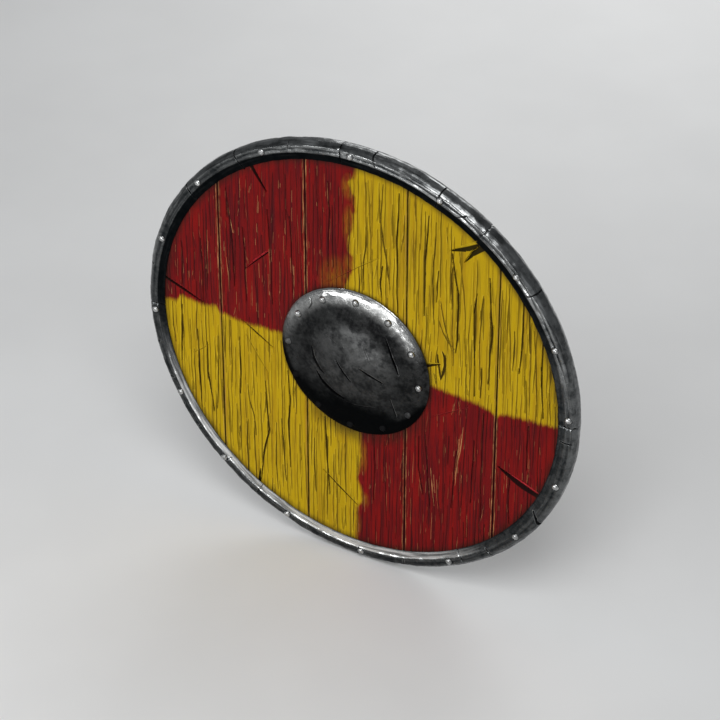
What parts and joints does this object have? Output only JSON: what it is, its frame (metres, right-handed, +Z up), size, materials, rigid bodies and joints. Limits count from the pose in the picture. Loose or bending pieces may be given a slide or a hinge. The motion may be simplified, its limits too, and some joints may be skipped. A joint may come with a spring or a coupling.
{
  "type": "round shield",
  "caption": "Round wooden plank shield with painted quarters, riveted iron rim and boss, cross battens and a leather-wrapped grip on the back.",
  "frame": {"origin": "middle of the grip, on the shield's axis", "axes": "+Z up along the planks, painted face towards -Y, +X to the right as seen from the front"},
  "size_m": [0.76, 0.0576, 0.76],
  "materials": {
    "painted_board": "worn red and yellow paint in quarters, bare behind",
    "bare_wood": "oiled bare wood",
    "rim_iron": "hammered, worn bright",
    "boss_iron": "hammered, dark",
    "rivet_iron": "worn bright",
    "grip_leather": "dark, handled"
  },
  "bodies": {
    "root": {"left_outer_plank": "painted_board", "left_plank": "painted_board", "centre_plank": "painted_board", "right_plank": "painted_board", "right_outer_plank": "painted_board", "rim_segment_1": "rim_iron", "rim_segment_2": "rim_iron", "rim_segment_3": "rim_iron", "rim_segment_4": "rim_iron", "rim_segment_5": "rim_iron", "rim_segment_6": "rim_iron", "rim_rivet_1": "rivet_iron", "rim_rivet_2": "rivet_iron", "rim_rivet_3": "rivet_iron", "rim_rivet_4": "rivet_iron", "rim_rivet_5": "rivet_iron", "rim_rivet_6": "rivet_iron", "rim_rivet_7": "rivet_iron", "rim_rivet_8": "rivet_iron", "rim_rivet_9": "rivet_iron", "rim_rivet_10": "rivet_iron", "rim_rivet_11": "rivet_iron", "rim_rivet_12": "rivet_iron", "rim_rivet_13": "rivet_iron", "rim_rivet_14": "rivet_iron", "rim_rivet_15": "rivet_iron", "rim_rivet_16": "rivet_iron", "boss": "boss_iron", "boss_rivet_1": "rivet_iron", "boss_rivet_2": "rivet_iron", "boss_rivet_3": "rivet_iron", "boss_rivet_4": "rivet_iron", "boss_rivet_5": "rivet_iron", "boss_rivet_6": "rivet_iron", "boss_rivet_7": "rivet_iron", "boss_rivet_8": "rivet_iron", "boss_rivet_9": "rivet_iron", "boss_rivet_10": "rivet_iron", "boss_rivet_11": "rivet_iron", "boss_rivet_12": "rivet_iron", "boss_rove_1": "rivet_iron", "boss_rove_2": "rivet_iron", "boss_rove_3": "rivet_iron", "boss_rove_4": "rivet_iron", "boss_rove_5": "rivet_iron", "boss_rove_6": "rivet_iron", "boss_rove_7": "rivet_iron", "boss_rove_8": "rivet_iron", "boss_rove_9": "rivet_iron", "boss_rove_10": "rivet_iron", "boss_rove_11": "rivet_iron", "boss_rove_12": "rivet_iron", "upper_batten": "bare_wood", "lower_batten": "bare_wood", "handle_batten": "bare_wood", "grip_wrap": "grip_leather"}
  },
  "joints": []
}
